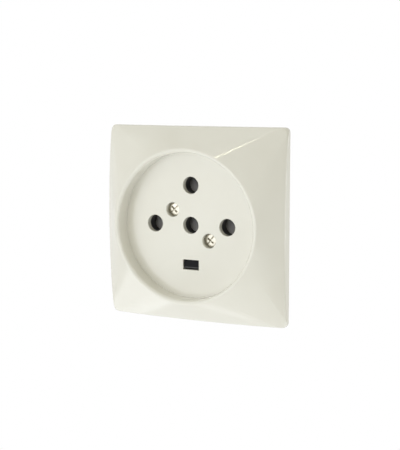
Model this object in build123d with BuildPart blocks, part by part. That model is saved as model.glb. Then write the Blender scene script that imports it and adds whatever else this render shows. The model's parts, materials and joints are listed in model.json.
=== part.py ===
"""Square flush wall socket with a round plug well, sliding pin shutter and rear terminals."""

import os
from math import atan2, cos, degrees, hypot, radians, sin, sqrt

from build123d import *

os.makedirs("parts", exist_ok=True)

# The wall is the plane y = 0 and the socket faces -Y.
# A height is measured out of the wall, so a negative one is inside the wall box.
front = Plane(origin=(0, 0, 0), x_dir=(1, 0, 0), z_dir=(0, -1, 0))

# Plate
plate = 80.0
plate_corner_r = 2.0
foot_h = 1.35
edge_mid_h = 4.9
edge_end_h = 2.4
edge_corner_h = 1.9
edge_bevel = 0.4
bevel_lift = 12.0
bow_reach = 0.9
crease_back = 0.6
skin_side = 2.2
skin_down = 1.0
cut_over = 2.0

# Plug well
well_r = 29.9
well_wall = 2.1
floor_h = 7.5
floor_t = 2.5
rim_round = 1.2
rim_h = 14.3
rim_lean = 37.0
rim_bite = 0.4
side_patch = 26.8

# Pin pattern
pin_pitch = 16.3
pin_hole_r = 3.5
slot_w = 7.2
slot_h = 4.15
slot_play = 0.25

# Cover screws
screw_x = 8.2
screw_z = 6.0
screw_hole_r = 3.0
screw_head_r = 2.75
screw_head_h = 1.0
screw_dome = 0.35
screw_sink = 1.8
screw_tip_in = 0.1
slot_deep = 0.6
slot_wide = 0.7
cross_deep = 0.8
cross_wide = 0.8
cross_long = 3.2
screw_turns = [44, 54]
m3_r = 1.5
m3_clear_r = 1.7
thread_play = 0.05
seat_t = 0.8
boss_r = 4.25
boss_play = 0.2
nut_af = 5.5
nut_t = 1.6
nut_play = 0.1
nut_web = 0.7

# Guide plate and base outline
body_r = 29.2
body_half = 25.8
lug_at = 25.0
lug_r = 4.2
body_depth = 26.0
body_chamfer = 1.0

# Support frame
frame_t = 1.1
frame_gap = 2.3
frame_corner_r = 4.0
frame_play = 0.3
box_hole_r = 2.1
box_pitch = 60.0

# Shutter
pad_half = 4.6
bar_half = 21.0
top_pad_half = 6.0
ramp_drop = 6.0
ramp_lip = 0.6
shutter_back_t = 1.8
shutter_play = 0.2
rail_in = 4.2
travel = 8.15
stop_play = 0.15

# Return springs
spring_x = 11.0
spring_r = 1.9
spring_wire_r = 0.25
spring_turns = 8
spring_seat_z = -19.0
spring_pocket_half = 2.6

# Contacts and terminals
sleeve_in_r = 3.05
sleeve_t = 0.8
sleeve_gap = 0.9
sleeve_drop = 0.8
split_from = 3.0
contact_well_r = 4.6
ring_t = 0.5
ring_w = 1.2
ring_from = 4.0
ring_gap = 1.2
tail_t = 1.0
tail_r = sleeve_in_r + sleeve_t
tail_play = 0.3
leaf_t = 0.8
leaf_gap = 2.9
leaf_w = 6.4
leaf_drop = 0.5
earth_well_w = 8.0
earth_well_h = 5.2
terminal_in = 5.0
terminal_edge = 7.3
terminal_aside = 11.5
terminal_mid = 9.0
m35_r = 1.75
clamp_size = 5.6
clamp_t = 1.2
clamp_play = 0.15
terminal_head_r = 2.8
terminal_head_h = 2.0
terminal_round = 0.4
terminal_slot_deep = 1.0
terminal_turn = 30
tip_in = 4.0
tip_room = 2.0
tip_play = 0.5

# Rear cover
rear_t = 2.0
rear_inset = 0.8
access_r = 3.2
wire_r = 2.2
post_r = 3.2
post_in_r = 2.3
rear_screw_at = 9.0
rear_screw_in = 8.0

# Pan head screws
fix_edge = 4.17
fix_screw_in = 8.0
thread_room = 1.0
pan_r = 2.75
pan_h = 1.6
pan_round = 0.5
pan_sink = 0.3
pan_play = 0.4
driver_slot = 0.8
driver_deep = 0.8

# Sizes that follow from those above
frame_size = plate - 2 * (skin_side + frame_gap)
fix_screw_at = (body_r - fix_edge) / sqrt(2)
terminal_far = body_half - terminal_edge

# Heights that follow from those above
floor_back = floor_h - floor_t
guide_back = frame_t
guide_t = floor_back - guide_back
boss_back = floor_h - screw_sink - screw_head_h - seat_t
nut_top = boss_back - nut_web
ramp_front = guide_back - shutter_play
shutter_back = ramp_front - ramp_drop - shutter_back_t
chamber_floor = shutter_back - shutter_play
tail_front = -body_depth + terminal_in
tail_back = tail_front - tail_t
clamp_back = tail_back - clamp_t
head_back = clamp_back - terminal_head_h
rear_back = -body_depth - rear_t

# Rim crest circle and the ruled facets that leave it
crest_r = well_r + rim_round
crest_h = rim_h - rim_round
crown_r = crest_r + rim_round * sin(radians(rim_lean))
crown_h = crest_h + rim_round * cos(radians(rim_lean))

# Pin and terminal places, in x and z
pin_top = (0, pin_pitch)
pin_left = (-pin_pitch, 0)
pin_centre = (0, 0)
pin_right = (pin_pitch, 0)
earth_at = (0, -pin_pitch)
pins = [pin_top, pin_left, pin_centre, pin_right]
end_top = (terminal_aside, terminal_far)
end_left = (-terminal_far, terminal_aside)
end_centre = (terminal_mid, terminal_mid)
end_right = (terminal_far, -terminal_aside)
end_earth = (-terminal_aside, -terminal_far)
tails = [
    (pin_top, end_top),
    (pin_left, end_left),
    (pin_centre, end_centre),
    (pin_right, end_right),
    (earth_at, end_earth),
]
cover_screw_at = [(-screw_x, screw_z), (screw_x, -screw_z)]
fix_at = [(i * fix_screw_at, j * fix_screw_at) for i in (-1, 1) for j in (-1, 1)]
lugs = [(i * lug_at, j * lug_at) for i in (-1, 1) for j in (-1, 1)]
rear_at = [(-rear_screw_at, rear_screw_at), (rear_screw_at, -rear_screw_at)]


def turned(point, quarter):
    """A point of the front view after some quarter turns."""
    x, z = point
    for _ in range(quarter):
        x, z = -z, x
    return (x, z)


def foot_point(edge, edge_h, angle, low, r, high):
    """Where the ruling through a point of the plate's edge comes down to the foot."""
    share = (edge_h - low) / (high - edge_h)
    x = edge[0] + share * (edge[0] - r * cos(radians(angle)))
    z = edge[1] + share * (edge[1] - r * sin(radians(angle)))
    return (x, z)


def flare(inset, drop, depth, lift):
    """Body with four bowed sides, ruled up to the rim's circle, on a straight foot."""
    side = plate / 2 - inset
    r = crown_r - inset
    low = foot_h - drop
    high = crown_h - drop + lift
    bow = foot_point((0, side), edge_mid_h - drop, 90, low, r, high)
    end = (side - plate_corner_r - crease_back, side)
    end = foot_point(end, edge_end_h - drop, 90 - side_patch, low, r, high)
    tip = side - plate_corner_r * (1 - cos(radians(45)))
    tip = foot_point((tip, tip), edge_corner_h - drop, 45, low, r, high)
    long_r = end[0] + bow_reach
    start = atan2(sqrt(long_r**2 - end[0] ** 2), end[0])
    short_r = (bow[1] - end[1]) / (1 - sin(start))
    feet = []
    crowns = []
    for k in range(4):
        across = turned((1, 0), k)
        centre = turned((0, bow[1] - short_r), k)
        place = Plane((centre[0], -low, centre[1]), (across[0], 0, across[1]), (0, -1, 0))
        feet.append(Edge.make_ellipse(long_r, short_r, place, degrees(start), 180 - degrees(start)))
        corner = [turned(point, k + 1) for point in [(end[1], end[0]), tip, end]]
        feet.append(Edge.make_three_point_arc(*[Vector(x, -low, z) for x, z in corner]))
        angles = [90 - side_patch, 90, 90 + side_patch, 135, 180 - side_patch]
        angles = [radians(90 * k + angle) for angle in angles]
        crown = [Vector(r * cos(angle), -high, r * sin(angle)) for angle in angles]
        crowns.append(Edge.make_three_point_arc(crown[0], crown[1], crown[2]))
        crowns.append(Edge.make_three_point_arc(crown[2], crown[3], crown[4]))
    patches = [Face.make_surface_from_curves(*pair) for pair in zip(feet, crowns)]
    foot = Face(Wire(feet))
    ruled = Solid(Shell([*patches, foot, Face(Wire(crowns))]))
    return ruled.fuse(Solid.extrude(foot, Vector(0, depth, 0)))


def along(start, end):
    """Place and turn of a strip that runs from one point of the front view to another."""
    dx, dz = end[0] - start[0], end[1] - start[1]
    middle = (start[0] + dx / 2, start[1] + dz / 2)
    return Location((middle[0], middle[1], 0), (0, 0, degrees(atan2(dz, dx))))


def body_outline(grow):
    """Round body with four flats."""
    Circle(body_r + grow)
    Rectangle(2 * (body_half + grow), 2 * (body_half + grow), mode=Mode.INTERSECT)


# Hollow under the plate
with BuildPart() as hollow:
    add(flare(skin_side, skin_down, foot_h, 0))
    with BuildSketch(front.offset(-cut_over)):
        RectangleRounded(plate - 2 * skin_side, plate - 2 * skin_side, plate_corner_r)
    extrude(amount=crown_h + 2 * cut_over, mode=Mode.INTERSECT)
    with BuildSketch(front.offset(floor_back)):
        Circle(well_r + well_wall)
    extrude(amount=crown_h, mode=Mode.SUBTRACT)

# Cover
with BuildPart() as cover:
    add(flare(0, 0, foot_h, 0))
    with BuildSketch(front):
        RectangleRounded(plate, plate, plate_corner_r)
    extrude(amount=crown_h + cut_over, mode=Mode.INTERSECT)
    add(flare(0, edge_bevel, foot_h, bevel_lift), mode=Mode.INTERSECT)
    with BuildSketch(front.offset(floor_h)):
        Circle(crest_r)
    extrude(amount=crown_h, mode=Mode.SUBTRACT)
    # rounded crest of the rim
    with BuildSketch(Plane.XY):
        with BuildLine():
            turn = radians((180 + 90 - rim_lean) / 2)
            inner = (well_r, -crest_h)
            top = (crest_r + rim_round * cos(turn), -crest_h - rim_round * sin(turn))
            outer = (crown_r, -crown_h)
            Line((well_r, -floor_h + rim_bite), inner)
            ThreePointArc(inner, top, outer)
            Line(outer, (crown_r - rim_bite, -crown_h))
            Line((crown_r - rim_bite, -crown_h), (crown_r - rim_bite, -floor_h + rim_bite))
            Line((crown_r - rim_bite, -floor_h + rim_bite), (well_r, -floor_h + rim_bite))
        make_face()
    revolve(axis=Axis.Y)
    add(hollow.part, mode=Mode.SUBTRACT)
    # seats for the two screws
    with BuildSketch(front.offset(boss_back)):
        with Locations(*cover_screw_at):
            Circle(boss_r)
    extrude(amount=floor_h - boss_back)
    with BuildSketch(front.offset(boss_back + seat_t)):
        with Locations(*cover_screw_at):
            Circle(screw_hole_r)
    extrude(amount=floor_h, mode=Mode.SUBTRACT)
    with BuildSketch(front.offset(boss_back)):
        with Locations(*cover_screw_at):
            Circle(m3_clear_r)
    extrude(amount=floor_h, mode=Mode.SUBTRACT)
    # pin holes and earth slot
    with BuildSketch(front.offset(boss_back)):
        with Locations(*pins):
            Circle(pin_hole_r)
        with Locations(earth_at):
            Rectangle(slot_w, slot_h)
    extrude(amount=floor_h, mode=Mode.SUBTRACT)

# Cover screws
with BuildPart() as cover_screws:
    seat = boss_back + seat_t
    with BuildSketch(front.offset(seat)):
        with Locations(*cover_screw_at):
            Circle(screw_head_r)
    extrude(amount=screw_head_h)
    with BuildSketch(front.offset(nut_top - nut_t + screw_tip_in)):
        with Locations(*cover_screw_at):
            Circle(m3_r)
    extrude(amount=seat - nut_top + nut_t - screw_tip_in)
    # low dome on each head
    dome_r = (screw_head_r**2 + screw_dome**2) / (2 * screw_dome)
    for x, z in cover_screw_at:
        with BuildSketch(Plane((x, 0, z))):
            with BuildLine():
                rim_y = -seat - screw_head_h
                half = screw_head_r / 2
                sag = sqrt(dome_r**2 - half**2) - dome_r + screw_dome
                Line((0, rim_y), (screw_head_r, rim_y))
                ThreePointArc((screw_head_r, rim_y), (half, rim_y - sag), (0, rim_y - screw_dome))
                Line((0, rim_y - screw_dome), (0, rim_y))
            make_face()
        revolve(axis=Axis((x, 0, z), (0, 1, 0)))
    # slot and cross recess
    with BuildSketch(front.offset(seat + screw_head_h - slot_deep)):
        for place, turn_by in zip(cover_screw_at, screw_turns):
            with Locations(Location((*place, 0), (0, 0, turn_by))):
                Rectangle(2 * (screw_head_r + cut_over), slot_wide)
    extrude(amount=slot_deep + cut_over, mode=Mode.SUBTRACT)
    with BuildSketch(front.offset(seat + screw_head_h - cross_deep)):
        for place, turn_by in zip(cover_screw_at, screw_turns):
            with Locations(Location((*place, 0), (0, 0, turn_by + 90))):
                Rectangle(cross_long, cross_wide)
    extrude(amount=cross_deep + cut_over, mode=Mode.SUBTRACT)

# Captive nuts
with BuildPart() as cover_nuts:
    with BuildSketch(front.offset(nut_top - nut_t)):
        with Locations(*cover_screw_at):
            RegularPolygon(nut_af / 2, 6, major_radius=False)
            Circle(m3_r + thread_play, mode=Mode.SUBTRACT)
    extrude(amount=nut_t)

# Guide plate
with BuildPart() as guide_plate:
    with BuildSketch(front.offset(guide_back)):
        body_outline(0)
        with PolarLocations((lug_at * sqrt(2) + body_half) / 2, 4, 45):
            SlotCenterToCenter(lug_at * sqrt(2) - body_half, 2 * lug_r)
        with Locations(*pins):
            Circle(pin_hole_r, mode=Mode.SUBTRACT)
        with Locations(earth_at):
            Rectangle(slot_w + 2 * slot_play, slot_h + 2 * slot_play, mode=Mode.SUBTRACT)
        with Locations(*lugs, *fix_at, *cover_screw_at):
            Circle(m3_clear_r, mode=Mode.SUBTRACT)
    extrude(amount=guide_t)
    # pockets for the cover's bosses, the nuts behind them and the base screws
    with BuildSketch(front.offset(boss_back)):
        with Locations(*cover_screw_at):
            Circle(boss_r + boss_play)
    extrude(amount=guide_t, mode=Mode.SUBTRACT)
    with BuildSketch(front.offset(guide_back)):
        with Locations(*cover_screw_at):
            RegularPolygon(nut_af / 2 + nut_play, 6, major_radius=False)
    extrude(amount=nut_top - guide_back, mode=Mode.SUBTRACT)
    with BuildSketch(front.offset(floor_back - pan_h - pan_sink)):
        with Locations(*fix_at):
            Circle(pan_r + pan_play)
    extrude(amount=guide_t, mode=Mode.SUBTRACT)

# Screws from guide plate to base
with BuildPart() as base_screws:
    seat = floor_back - pan_h - pan_sink
    with BuildSketch(front.offset(seat)):
        with Locations(*fix_at):
            Circle(pan_r)
    extrude(amount=pan_h)
    fillet(base_screws.edges().filter_by(GeomType.CIRCLE).group_by(Axis.Y)[0], pan_round)
    with BuildSketch(front.offset(seat + pan_h - driver_deep)):
        with Locations(*fix_at):
            Rectangle(2 * (pan_r + cut_over), driver_slot)
    extrude(amount=driver_deep + cut_over, mode=Mode.SUBTRACT)
    with BuildSketch(front.offset(-fix_screw_in)):
        with Locations(*fix_at):
            Circle(m3_r)
    extrude(amount=fix_screw_in + seat)

# Screws from guide plate lugs to support frame
with BuildPart() as frame_screws:
    with BuildSketch(front.offset(floor_back)):
        with Locations(*lugs):
            Circle(pan_r)
    extrude(amount=pan_h)
    fillet(frame_screws.edges().filter_by(GeomType.CIRCLE).group_by(Axis.Y)[0], pan_round)
    with BuildSketch(front.offset(floor_back + pan_h - driver_deep)):
        with Locations(*lugs):
            Rectangle(2 * (pan_r + cut_over), driver_slot)
    extrude(amount=driver_deep + cut_over, mode=Mode.SUBTRACT)
    with BuildSketch(front):
        with Locations(*lugs):
            Circle(m3_r)
    extrude(amount=floor_back)

# Support frame
with BuildPart() as support_frame:
    with BuildSketch(front):
        RectangleRounded(frame_size, frame_size, frame_corner_r)
    extrude(amount=frame_t)
    with BuildSketch(front):
        body_outline(frame_play)
    extrude(amount=frame_t, mode=Mode.SUBTRACT)
    with BuildSketch(front):
        with PolarLocations(box_pitch / 2, 4):
            Circle(box_hole_r)
        with Locations(*lugs):
            Circle(m3_r + thread_play)
    extrude(amount=frame_t, mode=Mode.SUBTRACT)

# Base
with BuildPart() as base:
    with BuildSketch(front.offset(body_chamfer - body_depth)):
        body_outline(0)
    extrude(amount=body_depth - body_chamfer + guide_back)
    with BuildSketch(front.offset(-body_depth)):
        body_outline(-body_chamfer)
    with BuildSketch(front.offset(body_chamfer - body_depth)):
        body_outline(0)
    loft(ruled=True)
    # chamber for the shutter and its springs
    low = -pad_half - travel - stop_play
    high = pin_pitch + pad_half + stop_play
    with BuildSketch(front.offset(chamber_floor)):
        with Locations((0, (low + pad_half + stop_play) / 2)):
            Rectangle(2 * (bar_half + frame_play), pad_half + stop_play - low)
        with Locations((0, (high + low) / 2)):
            Rectangle(2 * (top_pad_half + frame_play), high - low)
        with Locations((-spring_x, (low + spring_seat_z) / 2), (spring_x, (low + spring_seat_z) / 2)):
            Rectangle(2 * spring_pocket_half, low - spring_seat_z)
    extrude(amount=guide_back - chamber_floor, mode=Mode.SUBTRACT)
    # wells for the contacts
    with BuildSketch(front.offset(tail_front)):
        with Locations(*pins):
            Circle(contact_well_r)
    extrude(amount=chamber_floor - tail_front, mode=Mode.SUBTRACT)
    with BuildSketch(front.offset(tail_front)):
        with Locations(earth_at):
            Rectangle(earth_well_w, earth_well_h)
    extrude(amount=guide_back - tail_front, mode=Mode.SUBTRACT)
    # rear pockets for tails and terminals
    with BuildSketch(front.offset(-body_depth)):
        for start, end in tails:
            with Locations(along(start, end)):
                SlotCenterToCenter(hypot(end[0] - start[0], end[1] - start[1]), 2 * (tail_r + tail_play))
    extrude(amount=terminal_in, mode=Mode.SUBTRACT)
    with BuildSketch(front.offset(tail_front)):
        with Locations(*[end for _, end in tails]):
            Circle(m35_r + tip_play)
    extrude(amount=tip_in + tip_room, mode=Mode.SUBTRACT)
    # threads for the base and rear cover screws
    with BuildSketch(front.offset(-fix_screw_in - thread_room)):
        with Locations(*fix_at):
            Circle(m3_r + thread_play)
    extrude(amount=fix_screw_in + thread_room + guide_back, mode=Mode.SUBTRACT)
    with BuildSketch(front.offset(-body_depth)):
        with Locations(*rear_at):
            Circle(m3_r + thread_play)
    extrude(amount=rear_screw_in + thread_room, mode=Mode.SUBTRACT)


def pad_profile(middle_z):
    """Side view of a shutter pad, whose front ramp is deepest at its upper edge."""
    Polyline(
        (-ramp_front, middle_z - pad_half),
        (-ramp_front, middle_z - pad_half + ramp_lip),
        (-ramp_front + ramp_drop, middle_z + pad_half),
        (-shutter_back, middle_z + pad_half),
        (-shutter_back, middle_z - pad_half),
        close=True,
    )


# Shutter
with BuildPart() as shutter:
    with BuildSketch(Plane.YZ):
        with BuildLine():
            pad_profile(0)
        make_face()
    extrude(amount=bar_half, both=True)
    with BuildSketch(Plane.YZ):
        with BuildLine():
            pad_profile(pin_pitch)
        make_face()
    extrude(amount=top_pad_half, both=True)
    rail = top_pad_half - rail_in
    with BuildSketch(front.offset(shutter_back)):
        with Locations((-rail_in - rail / 2, pin_pitch / 2), (rail_in + rail / 2, pin_pitch / 2)):
            Rectangle(rail, pin_pitch)
    extrude(amount=shutter_back_t)

# Return springs
spring_mid = (shutter_back + ramp_front) / 2
spring_long = -pad_half - spring_seat_z - 2 * spring_wire_r
with BuildPart() as shutter_springs:
    for x in (-spring_x, spring_x):
        with BuildLine(Plane((x, -spring_mid, spring_seat_z + spring_wire_r))) as coil:
            Helix(spring_long / spring_turns, spring_long, spring_r)
        with BuildSketch(Plane(coil.line @ 0, z_dir=coil.line % 0)):
            Circle(spring_wire_r)
        sweep(path=coil.line, is_frenet=True)


# Pin contacts, each a split sleeve around one pin with a flat tail to its terminal
contact_names = ["contact_top", "contact_left", "contact_centre", "contact_right"]
for name, (start, end) in zip(contact_names, tails):
    with BuildPart() as contact:
        with BuildSketch(front.offset(tail_back)):
            with Locations(along(start, end)):
                SlotCenterToCenter(hypot(end[0] - start[0], end[1] - start[1]), 2 * tail_r)
        extrude(amount=tail_t)
        with BuildSketch(front.offset(tail_back)):
            with Locations(start):
                Circle(sleeve_in_r + sleeve_t)
        extrude(amount=chamber_floor - sleeve_drop - tail_back)
        with BuildSketch(front.offset(tail_back)):
            with Locations(start):
                Circle(sleeve_in_r)
            with Locations(end):
                Circle(m35_r + thread_play)
        extrude(amount=body_depth, mode=Mode.SUBTRACT)
        with BuildSketch(front.offset(tail_front + split_from)):
            with Locations(start):
                Rectangle(3 * sleeve_in_r, sleeve_gap)
        extrude(amount=body_depth, mode=Mode.SUBTRACT)
    contact.part.label = name
    export_step(contact.part, f"parts/{name}.step")

# Spring rings around the sleeves
with BuildPart() as contact_rings:
    with BuildSketch(front.offset(chamber_floor - ring_from)):
        with Locations(*pins):
            Circle(sleeve_in_r + sleeve_t + thread_play + ring_t)
            Circle(sleeve_in_r + sleeve_t + thread_play, mode=Mode.SUBTRACT)
        with Locations(*[(x, z + contact_well_r) for x, z in pins]):
            Rectangle(ring_gap, contact_well_r, mode=Mode.SUBTRACT)
    extrude(amount=ring_w)

# Earth contact
with BuildPart() as earth_contact:
    with BuildSketch(front.offset(tail_back)):
        with Locations(along(earth_at, end_earth)):
            SlotCenterToCenter(
                hypot(end_earth[0] - earth_at[0], end_earth[1] - earth_at[1]), 2 * tail_r
            )
        with Locations(end_earth):
            Circle(m35_r + thread_play, mode=Mode.SUBTRACT)
    extrude(amount=tail_t)
    leaf_at = (leaf_gap + leaf_t) / 2
    with BuildSketch(front.offset(tail_back)):
        with Locations((0, -pin_pitch - leaf_at), (0, -pin_pitch + leaf_at)):
            Rectangle(leaf_w, leaf_t)
    extrude(amount=guide_back - leaf_drop - tail_back)

# Terminal clamps
with BuildPart() as terminal_clamps:
    with BuildSketch(front.offset(clamp_back)):
        for start, end in tails:
            turn_by = degrees(atan2(end[1] - start[1], end[0] - start[0]))
            with Locations(Location((*end, 0), (0, 0, turn_by))):
                Rectangle(clamp_size, clamp_size)
                Circle(m35_r + clamp_play, mode=Mode.SUBTRACT)
    extrude(amount=clamp_t)

# Terminal screws
with BuildPart() as terminal_screws:
    ends = [end for _, end in tails]
    with BuildSketch(front.offset(head_back)):
        with Locations(*ends):
            Circle(terminal_head_r)
    extrude(amount=terminal_head_h)
    fillet(terminal_screws.edges().filter_by(GeomType.CIRCLE).group_by(Axis.Y)[-1], terminal_round)
    with BuildSketch(front.offset(head_back)):
        for place in ends:
            with Locations(Location((*place, 0), (0, 0, terminal_turn))):
                Rectangle(2 * (terminal_head_r + cut_over), driver_slot)
    extrude(amount=terminal_slot_deep, mode=Mode.SUBTRACT)
    with BuildSketch(front.offset(clamp_back)):
        with Locations(*ends):
            Circle(m35_r)
    extrude(amount=tail_front + tip_in - clamp_back)

# Rear cover
with BuildPart() as rear_cover:
    with BuildSketch(front.offset(rear_back)):
        body_outline(-rear_inset)
    extrude(amount=rear_t)
    with BuildSketch(front.offset(-body_depth)):
        with Locations(*pins):
            Circle(post_r)
            Circle(post_in_r, mode=Mode.SUBTRACT)
        with Locations(earth_at):
            Circle(post_r)
            Circle(post_in_r, mode=Mode.SUBTRACT)
    extrude(amount=tail_back + body_depth)
    with BuildSketch(front.offset(rear_back)):
        with Locations(*[end for _, end in tails]):
            Circle(access_r)
        with Locations(*[((a[0] + b[0]) / 2, (a[1] + b[1]) / 2) for a, b in tails]):
            Circle(wire_r)
        with Locations(*rear_at):
            Circle(m3_clear_r)
    extrude(amount=rear_t, mode=Mode.SUBTRACT)

# Rear cover screws
with BuildPart() as rear_cover_screws:
    with BuildSketch(front.offset(rear_back - pan_h)):
        with Locations(*rear_at):
            Circle(pan_r)
    extrude(amount=pan_h)
    fillet(rear_cover_screws.edges().filter_by(GeomType.CIRCLE).group_by(Axis.Y)[-1], pan_round)
    with BuildSketch(front.offset(rear_back - pan_h)):
        with Locations(*rear_at):
            Rectangle(2 * (pan_r + cut_over), driver_slot)
    extrude(amount=driver_deep, mode=Mode.SUBTRACT)
    with BuildSketch(front.offset(rear_back)):
        with Locations(*rear_at):
            Circle(m3_r)
    extrude(amount=rear_t + rear_screw_in)

cover.part.label = "cover"
cover_screws.part.label = "cover_screws"
cover_nuts.part.label = "cover_nuts"
guide_plate.part.label = "guide_plate"
base_screws.part.label = "base_screws"
frame_screws.part.label = "frame_screws"
support_frame.part.label = "support_frame"
base.part.label = "base"
shutter.part.label = "shutter"
shutter_springs.part.label = "shutter_springs"
contact_rings.part.label = "contact_rings"
earth_contact.part.label = "earth_contact"
terminal_clamps.part.label = "terminal_clamps"
terminal_screws.part.label = "terminal_screws"
rear_cover.part.label = "rear_cover"
rear_cover_screws.part.label = "rear_cover_screws"

export_step(cover.part, "parts/cover.step")
export_step(cover_screws.part, "parts/cover_screws.step")
export_step(cover_nuts.part, "parts/cover_nuts.step")
export_step(guide_plate.part, "parts/guide_plate.step")
export_step(base_screws.part, "parts/base_screws.step")
export_step(frame_screws.part, "parts/frame_screws.step")
export_step(support_frame.part, "parts/support_frame.step")
export_step(base.part, "parts/base.step")
export_step(shutter.part, "parts/shutter.step")
export_step(shutter_springs.part, "parts/shutter_springs.step")
export_step(contact_rings.part, "parts/contact_rings.step")
export_step(earth_contact.part, "parts/earth_contact.step")
export_step(terminal_clamps.part, "parts/terminal_clamps.step")
export_step(terminal_screws.part, "parts/terminal_screws.step")
export_step(rear_cover.part, "parts/rear_cover.step")
export_step(rear_cover_screws.part, "parts/rear_cover_screws.step")
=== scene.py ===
"""Flush wall socket in cream plastic, dressed and lit on a white ground."""

import json
import math

import bmesh
import bpy
from mathutils import Matrix, Vector


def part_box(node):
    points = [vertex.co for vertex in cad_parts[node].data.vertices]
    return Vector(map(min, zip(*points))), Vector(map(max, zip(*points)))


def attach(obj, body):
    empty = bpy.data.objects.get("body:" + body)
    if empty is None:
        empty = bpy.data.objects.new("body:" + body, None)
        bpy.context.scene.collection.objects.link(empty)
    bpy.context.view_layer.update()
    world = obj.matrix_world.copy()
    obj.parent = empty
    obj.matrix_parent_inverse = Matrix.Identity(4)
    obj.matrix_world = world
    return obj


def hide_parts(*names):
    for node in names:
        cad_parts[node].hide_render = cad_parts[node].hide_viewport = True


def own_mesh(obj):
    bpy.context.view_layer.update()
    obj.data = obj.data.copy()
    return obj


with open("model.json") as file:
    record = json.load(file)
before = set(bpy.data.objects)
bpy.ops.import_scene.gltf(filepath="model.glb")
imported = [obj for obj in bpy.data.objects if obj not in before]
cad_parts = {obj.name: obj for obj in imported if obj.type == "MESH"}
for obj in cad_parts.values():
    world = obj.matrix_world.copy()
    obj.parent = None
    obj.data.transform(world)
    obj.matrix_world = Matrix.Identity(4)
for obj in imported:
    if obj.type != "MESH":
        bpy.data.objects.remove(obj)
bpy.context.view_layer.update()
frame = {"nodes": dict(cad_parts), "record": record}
nodes = frame["nodes"]
scene = bpy.context.scene

# Texture scales, in waves per metre, and strengths of the relief
flow_scale, patch_scale, skin_strength = 38.0, 160.0, 0.25
tarnish_scale, lay_strength = 120.0, 0.2
edge_samples = 8


# Material helpers
def new_material(name):
    """A material with its shader, and the object's coordinates for its textures."""
    mat = bpy.data.materials.new(name)
    mat.use_nodes = True
    tree = mat.node_tree
    tree.nodes.clear()
    out = tree.nodes.new("ShaderNodeOutputMaterial")
    shader = tree.nodes.new("ShaderNodeBsdfPrincipled")
    tree.links.new(shader.outputs["BSDF"], out.inputs["Surface"])
    coords = tree.nodes.new("ShaderNodeTexCoord")
    return mat, tree, shader, coords.outputs["Object"]


def noise(tree, vector, scale, detail=4.0, rough=0.55):
    n = tree.nodes.new("ShaderNodeTexNoise")
    n.inputs["Scale"].default_value = scale
    n.inputs["Detail"].default_value = detail
    n.inputs["Roughness"].default_value = rough
    tree.links.new(vector, n.inputs["Vector"])
    return n.outputs["Fac"]


def stretched(tree, vector, scale):
    """The same coordinates, drawn out along some axes."""
    m = tree.nodes.new("ShaderNodeMapping")
    m.inputs["Scale"].default_value = scale
    tree.links.new(vector, m.inputs["Vector"])
    return m.outputs["Vector"]


def ramp(tree, fac, low, high, a=0.35, b=0.65):
    """Colour that goes from low to high as a noise goes from a to b."""
    r = tree.nodes.new("ShaderNodeValToRGB")
    r.color_ramp.elements[0].position = a
    r.color_ramp.elements[1].position = b
    r.color_ramp.elements[0].color = (*low, 1)
    r.color_ramp.elements[1].color = (*high, 1)
    tree.links.new(fac, r.inputs["Fac"])
    return r.outputs["Color"]


def spread(tree, fac, low, high, a=0.3, b=0.7):
    """Number that goes from low to high as the given one goes from a to b."""
    m = tree.nodes.new("ShaderNodeMapRange")
    m.inputs["From Min"].default_value = a
    m.inputs["From Max"].default_value = b
    m.inputs["To Min"].default_value = low
    m.inputs["To Max"].default_value = high
    tree.links.new(fac, m.inputs["Value"])
    return m.outputs["Result"]


def math_node(tree, operation, first, second=None):
    """One sum on one or two sockets, or on a socket and a fixed number."""
    m = tree.nodes.new("ShaderNodeMath")
    m.operation = operation
    tree.links.new(first, m.inputs[0])
    if isinstance(second, float):
        m.inputs[1].default_value = second
    elif second is not None:
        tree.links.new(second, m.inputs[1])
    return m.outputs[0]


def bump(tree, shader, height, strength, distance, edge=0.0):
    """Fine relief, and edges that look softened by a small radius."""
    b = tree.nodes.new("ShaderNodeBump")
    if edge:
        soft = tree.nodes.new("ShaderNodeBevel")
        soft.samples = edge_samples
        soft.inputs["Radius"].default_value = edge
        tree.links.new(soft.outputs["Normal"], b.inputs["Normal"])
    b.inputs["Strength"].default_value = strength
    b.inputs["Distance"].default_value = distance
    tree.links.new(height, b.inputs["Height"])
    tree.links.new(b.outputs["Normal"], shader.inputs["Normal"])


def plastic(name, low, high, gloss, matt, grain, depth, ior=1.5, edge=0.0):
    """Moulded plastic: faint flow mottling, uneven gloss and a fine skin."""
    mat, tree, shader, at = new_material(name)
    flow = noise(tree, at, flow_scale, 3.0)
    tree.links.new(ramp(tree, flow, low, high), shader.inputs["Base Color"])
    patch = noise(tree, at, patch_scale, 5.0)
    tree.links.new(spread(tree, patch, gloss, matt), shader.inputs["Roughness"])
    bump(tree, shader, noise(tree, at, grain, 2.0), skin_strength, depth, edge)
    shader.inputs["IOR"].default_value = ior
    return mat


def painted_highlight_band(mat, height, half, fade, colour):
    """A painted highlight: a level band of lighter colour along the piece."""
    tree = mat.node_tree
    shader = tree.nodes["Principled BSDF"]
    plain = shader.inputs["Base Color"].links[0].from_socket
    coords = tree.nodes.new("ShaderNodeTexCoord")
    split = tree.nodes.new("ShaderNodeSeparateXYZ")
    tree.links.new(coords.outputs["Object"], split.inputs[0])
    away = math_node(tree, "ABSOLUTE", math_node(tree, "SUBTRACT", split.outputs["Z"], height))
    # Painted highlight: the lighter colour is mixed in near the given height
    lit_band = tree.nodes.new("ShaderNodeMix")
    lit_band.data_type = "RGBA"
    share = spread(tree, away, 1.0, 0.0, half, half + fade)
    tree.links.new(share, lit_band.inputs["Factor"])
    tree.links.new(plain, lit_band.inputs[6])
    lit_band.inputs[7].default_value = (*colour, 1)
    tree.links.new(lit_band.outputs[2], shader.inputs["Base Color"])


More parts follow.
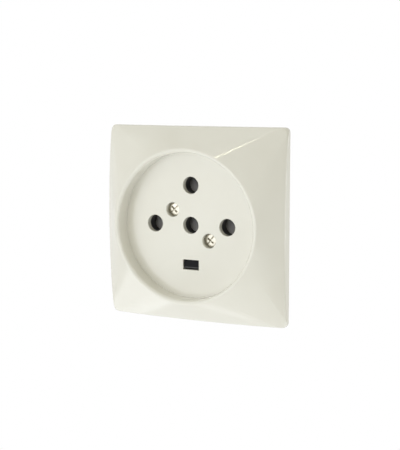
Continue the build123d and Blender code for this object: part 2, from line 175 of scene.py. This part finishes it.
def metal(name, low, high, gloss, matt, lay, depth):
    """Plated or rolled metal with fine lines along its working direction."""
    mat, tree, shader, at = new_material(name)
    tarnish = noise(tree, at, tarnish_scale, 6.0)
    tree.links.new(ramp(tree, tarnish, low, high), shader.inputs["Base Color"])
    lines = noise(tree, stretched(tree, at, lay), 1.0, 6.0, 0.7)
    tree.links.new(spread(tree, lines, gloss, matt), shader.inputs["Roughness"])
    bump(tree, shader, lines, lay_strength, depth)
    shader.inputs["Metallic"].default_value = 1.0
    return mat


# Materials
cream = plastic(
    "cream_plastic", (0.775, 0.760, 0.697), (0.800, 0.788, 0.730),
    gloss=0.07, matt=0.11, grain=1500.0, depth=0.000003, edge=0.0004,
)
black = plastic(
    "black_plastic", (0.022, 0.021, 0.022), (0.030, 0.029, 0.029),
    gloss=0.36, matt=0.52, grain=2600.0, depth=0.00003,
)
grey = plastic(
    "grey_plastic", (0.640, 0.625, 0.635), (0.700, 0.685, 0.695),
    gloss=0.38, matt=0.50, grain=2200.0, depth=0.00002,
)
soft_black = plastic(
    "soft_black", (0.004, 0.004, 0.005), (0.007, 0.006, 0.007),
    gloss=0.42, matt=0.56, grain=1900.0, depth=0.00002, ior=1.2,
)
zinc = metal(
    "zinc_sheet", (0.54, 0.55, 0.55), (0.68, 0.68, 0.66),
    gloss=0.26, matt=0.42, lay=(60, 60, 1800), depth=0.00002,
)
nickel = metal(
    "nickel_screw", (0.40, 0.375, 0.305), (0.53, 0.50, 0.42),
    gloss=0.20, matt=0.32, lay=(900, 900, 900), depth=0.00001,
)
wire = metal(
    "spring_wire", (0.34, 0.34, 0.35), (0.46, 0.46, 0.46),
    gloss=0.24, matt=0.38, lay=(300, 300, 2600), depth=0.00001,
)
brass = metal(
    "contact_brass", (0.62, 0.45, 0.19), (0.74, 0.57, 0.27),
    gloss=0.22, matt=0.38, lay=(200, 1600, 200), depth=0.00001,
)

finish = {
    "cream_plastic": cream,
    "black_plastic": black,
    "grey_plastic": grey,
    "sheet_steel": zinc,
    "screw_steel": nickel,
    "spring_steel": wire,
    "contact_brass": brass,
}
for part in frame["record"]["subparts"]:
    mesh = nodes[part["node"]].data
    mesh.materials.clear()
    mesh.materials.append(finish[part["material_slot"]])


def mesh_object(name, bm, material):
    """A new object in the scene from a finished bmesh."""
    bmesh.ops.recalc_face_normals(bm, faces=bm.faces)
    mesh = bpy.data.meshes.new(name)
    bm.to_mesh(mesh)
    bm.free()
    mesh.materials.append(material)
    obj = bpy.data.objects.new(name, mesh)
    scene.collection.objects.link(obj)
    return obj


# Return springs with closed ends
spring_xs, coil_r, wire_r, coil_turns = (-0.011, 0.011), 0.0019, 0.00025, 8
turn_steps, wire_sides, closed_pitch = 28, 10, 2.1


def coil(bm, x, y, low, high, radius, wire_r, turns):
    """One round-wire spring that stands along Z."""
    steps = turn_steps * turns
    rise = high - low - 2 * wire_r
    closed = wire_r * closed_pitch
    rings = []
    for i in range(steps + 1):
        t = i / steps
        a = 2 * math.pi * turns * t
        if t * turns < 1.0:
            z = closed * t * turns
        elif t * turns > turns - 1.0:
            z = rise - closed * (turns - t * turns)
        else:
            z = closed + (rise - 2 * closed) * (t * turns - 1.0) / (turns - 2.0)
        out = Vector((math.cos(a), math.sin(a), 0))
        centre = Vector((x, y, low + wire_r + z)) + out * radius
        ring = []
        for k in range(wire_sides):
            b = 2 * math.pi * k / wire_sides
            up = Vector((0, 0, wire_r * math.sin(b)))
            ring.append(bm.verts.new(centre + out * wire_r * math.cos(b) + up))
        rings.append(ring)
    for one, two in zip(rings, rings[1:]):
        for k in range(wire_sides):
            n = (k + 1) % wire_sides
            bm.faces.new((one[k], one[n], two[n], two[k]))
    bm.faces.new(rings[0][::-1])
    bm.faces.new(rings[-1])


low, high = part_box("shutter_springs")
bm = bmesh.new()
for x in spring_xs:
    coil(bm, x, (low.y + high.y) / 2, low.z, high.z, coil_r, wire_r, coil_turns)
springs = mesh_object("return_springs", bm, wire)
springs.data.polygons.foreach_set("use_smooth", [True] * len(springs.data.polygons))
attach(springs, "socket")
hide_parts("shutter_springs")
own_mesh(springs)

# Soft flap that closes the earth slot, hanging from the slot's upper edge
slot_z, slot_half_w, slot_half_h = -0.0163, 0.0036, 0.002075
flap_play, flap_gap, flap_t, lip_r = 0.00005, 0.00045, 0.0006, 0.00035
flap_top_y, flap_lip_y = -0.0066, -0.0070
lip_steps, sharp_from = 12, math.radians(40)
# Painted highlight along the flap's lip: its rise above the lip, half width, fade and colour
highlight_rise, highlight_half, highlight_fade = 0.0001, 0.00018, 0.00012
highlight_colour = (0.068, 0.068, 0.069)


def slab(name, profile, low_x, high_x, material):
    """A piece with one outline in Y and Z, drawn out along X."""
    bm = bmesh.new()
    ends = [[bm.verts.new((x, y, z)) for y, z in profile] for x in (low_x, high_x)]
    count = len(profile)
    for k in range(count):
        n = (k + 1) % count
        face = bm.faces.new((ends[0][k], ends[0][n], ends[1][n], ends[1][k]))
        face.smooth = True
    bm.faces.new(ends[0][::-1])
    bm.faces.new(ends[1])
    piece = mesh_object(name, bm, material)
    piece.data.set_sharp_from_angle(angle=sharp_from)
    return piece


top_z = slot_z + slot_half_h - flap_play
lip_z = slot_z - slot_half_h + flap_gap + lip_r
outline = [(flap_top_y + flap_t, top_z), (flap_top_y, top_z)]
for k in range(lip_steps + 1):
    a = math.pi * k / lip_steps
    outline.append((flap_lip_y + lip_r - lip_r * math.cos(a), lip_z - lip_r * math.sin(a)))
# Painted highlight: a lighter band of colour across the flap's lip, where light catches it
painted_highlight_band(soft_black, lip_z + highlight_rise, highlight_half, highlight_fade, highlight_colour)
flap = slab("earth_flap", outline, flap_play - slot_half_w, slot_half_w - flap_play, soft_black)
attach(flap, "socket")

# White floor, far enough below that the part's shadow on it is lost
floor_half, floor_z = 6.0, -1.5
mesh = bpy.data.meshes.new("floor")
corners = [(-1, -1), (1, -1), (1, 1), (-1, 1)]
mesh.from_pydata([(x * floor_half, y * floor_half, floor_z) for x, y in corners], [], [(0, 1, 2, 3)])
floor = bpy.data.objects.new("floor", mesh)
scene.collection.objects.link(floor)


def seen_white(tree, surface, white_kind):
    """White for rays that show the ground, and the given surface for all other light."""
    path = tree.nodes.new("ShaderNodeLightPath")
    white = tree.nodes.new(white_kind)
    white.inputs["Color"].default_value = (1, 1, 1, 1)
    white.inputs["Strength"].default_value = 1.0
    shown = math_node(tree, "MAXIMUM", path.outputs["Is Camera Ray"], path.outputs["Is Glossy Ray"])
    shown = math_node(tree, "MAXIMUM", shown, path.outputs["Is Transmission Ray"])
    mix = tree.nodes.new("ShaderNodeMixShader")
    tree.links.new(shown, mix.inputs[0])
    tree.links.new(surface.outputs[0], mix.inputs[1])
    tree.links.new(white.outputs[0], mix.inputs[2])
    return mix.outputs[0]


ground = bpy.data.materials.new("ground")
ground.use_nodes = True
tree = ground.node_tree
tree.nodes.clear()
paint = tree.nodes.new("ShaderNodeBsdfDiffuse")
paint.inputs["Color"].default_value = (0.9, 0.9, 0.9, 1)
end = tree.nodes.new("ShaderNodeOutputMaterial")
tree.links.new(seen_white(tree, paint, "ShaderNodeEmission"), end.inputs["Surface"])
floor.data.materials.append(ground)

world = bpy.data.worlds.new("studio")
scene.world = world
world.use_nodes = True
tree = world.node_tree
tree.nodes.clear()
sky = tree.nodes.new("ShaderNodeBackground")
sky.inputs["Color"].default_value = (1.0, 0.96, 0.74, 1)
sky.inputs["Strength"].default_value = 0.40
end = tree.nodes.new("ShaderNodeOutputWorld")
tree.links.new(seen_white(tree, sky, "ShaderNodeBackground"), end.inputs["Surface"])


# Round soft lamps, a metre or so from the part
def lamp(name, place, look, size, power, colour):
    light = bpy.data.lights.new(name, "AREA")
    light.shape = "DISK"
    light.size = size
    light.energy = power
    light.color = colour
    obj = bpy.data.objects.new(name, light)
    scene.collection.objects.link(obj)
    obj.location = place
    obj.rotation_euler = (Vector(look) - Vector(place)).to_track_quat("-Z", "Y").to_euler()


middle = (0, 0, 0)
cool, warm = (0.905, 0.938, 1.0), (1.0, 0.94, 0.70)
crease = (0.027, -0.008, 0.034)
lamp("front_softbox", (-0.4515, -0.8861, -0.1045), middle, 0.96, 3.60, cool)
lamp("over_softbox", (0.0, -0.1736, 0.9848), middle, 1.2, 2.35, cool)
lamp("right_softbox", (0.6964, -0.1228, -0.7071), middle, 1.0, 4.95, cool)
lamp("low_softbox", (-0.5826, -0.2717, -0.7660), middle, 1.0, 2.60, cool)
lamp("left_softbox", (-0.5826, -0.6943, 0.4226), middle, 0.7, 1.15, cool)
lamp("fill_softbox", (0.1736, -0.9848, 0.0), middle, 0.6, 0.95, cool)
lamp("side_softbox", (0.6428, 0.7660, 0.0), middle, 0.4, 2.00, cool)
lamp("top_lamp", (0.0126, -0.812, 0.924), crease, 0.06, 0.52, warm)

# Camera at the photograph's place
camera_data = bpy.data.cameras.new("camera")
camera_data.lens = 86.74
camera_data.sensor_width = 36.0
camera_data.clip_start = 0.01
camera = bpy.data.objects.new("camera", camera_data)
scene.collection.objects.link(camera)
eye = Vector((0.195644, -0.397264, 0.059025))
aim = Vector((0.000494, 0.0, -0.000764))
roll = Matrix.Rotation(math.radians(-0.114), 3, "Z")
turn = (aim - eye).to_track_quat("-Z", "Y").to_matrix() @ roll
camera.matrix_world = Matrix.Translation(eye) @ turn.to_4x4()
scene.camera = camera

scene.view_settings.view_transform = "Standard"
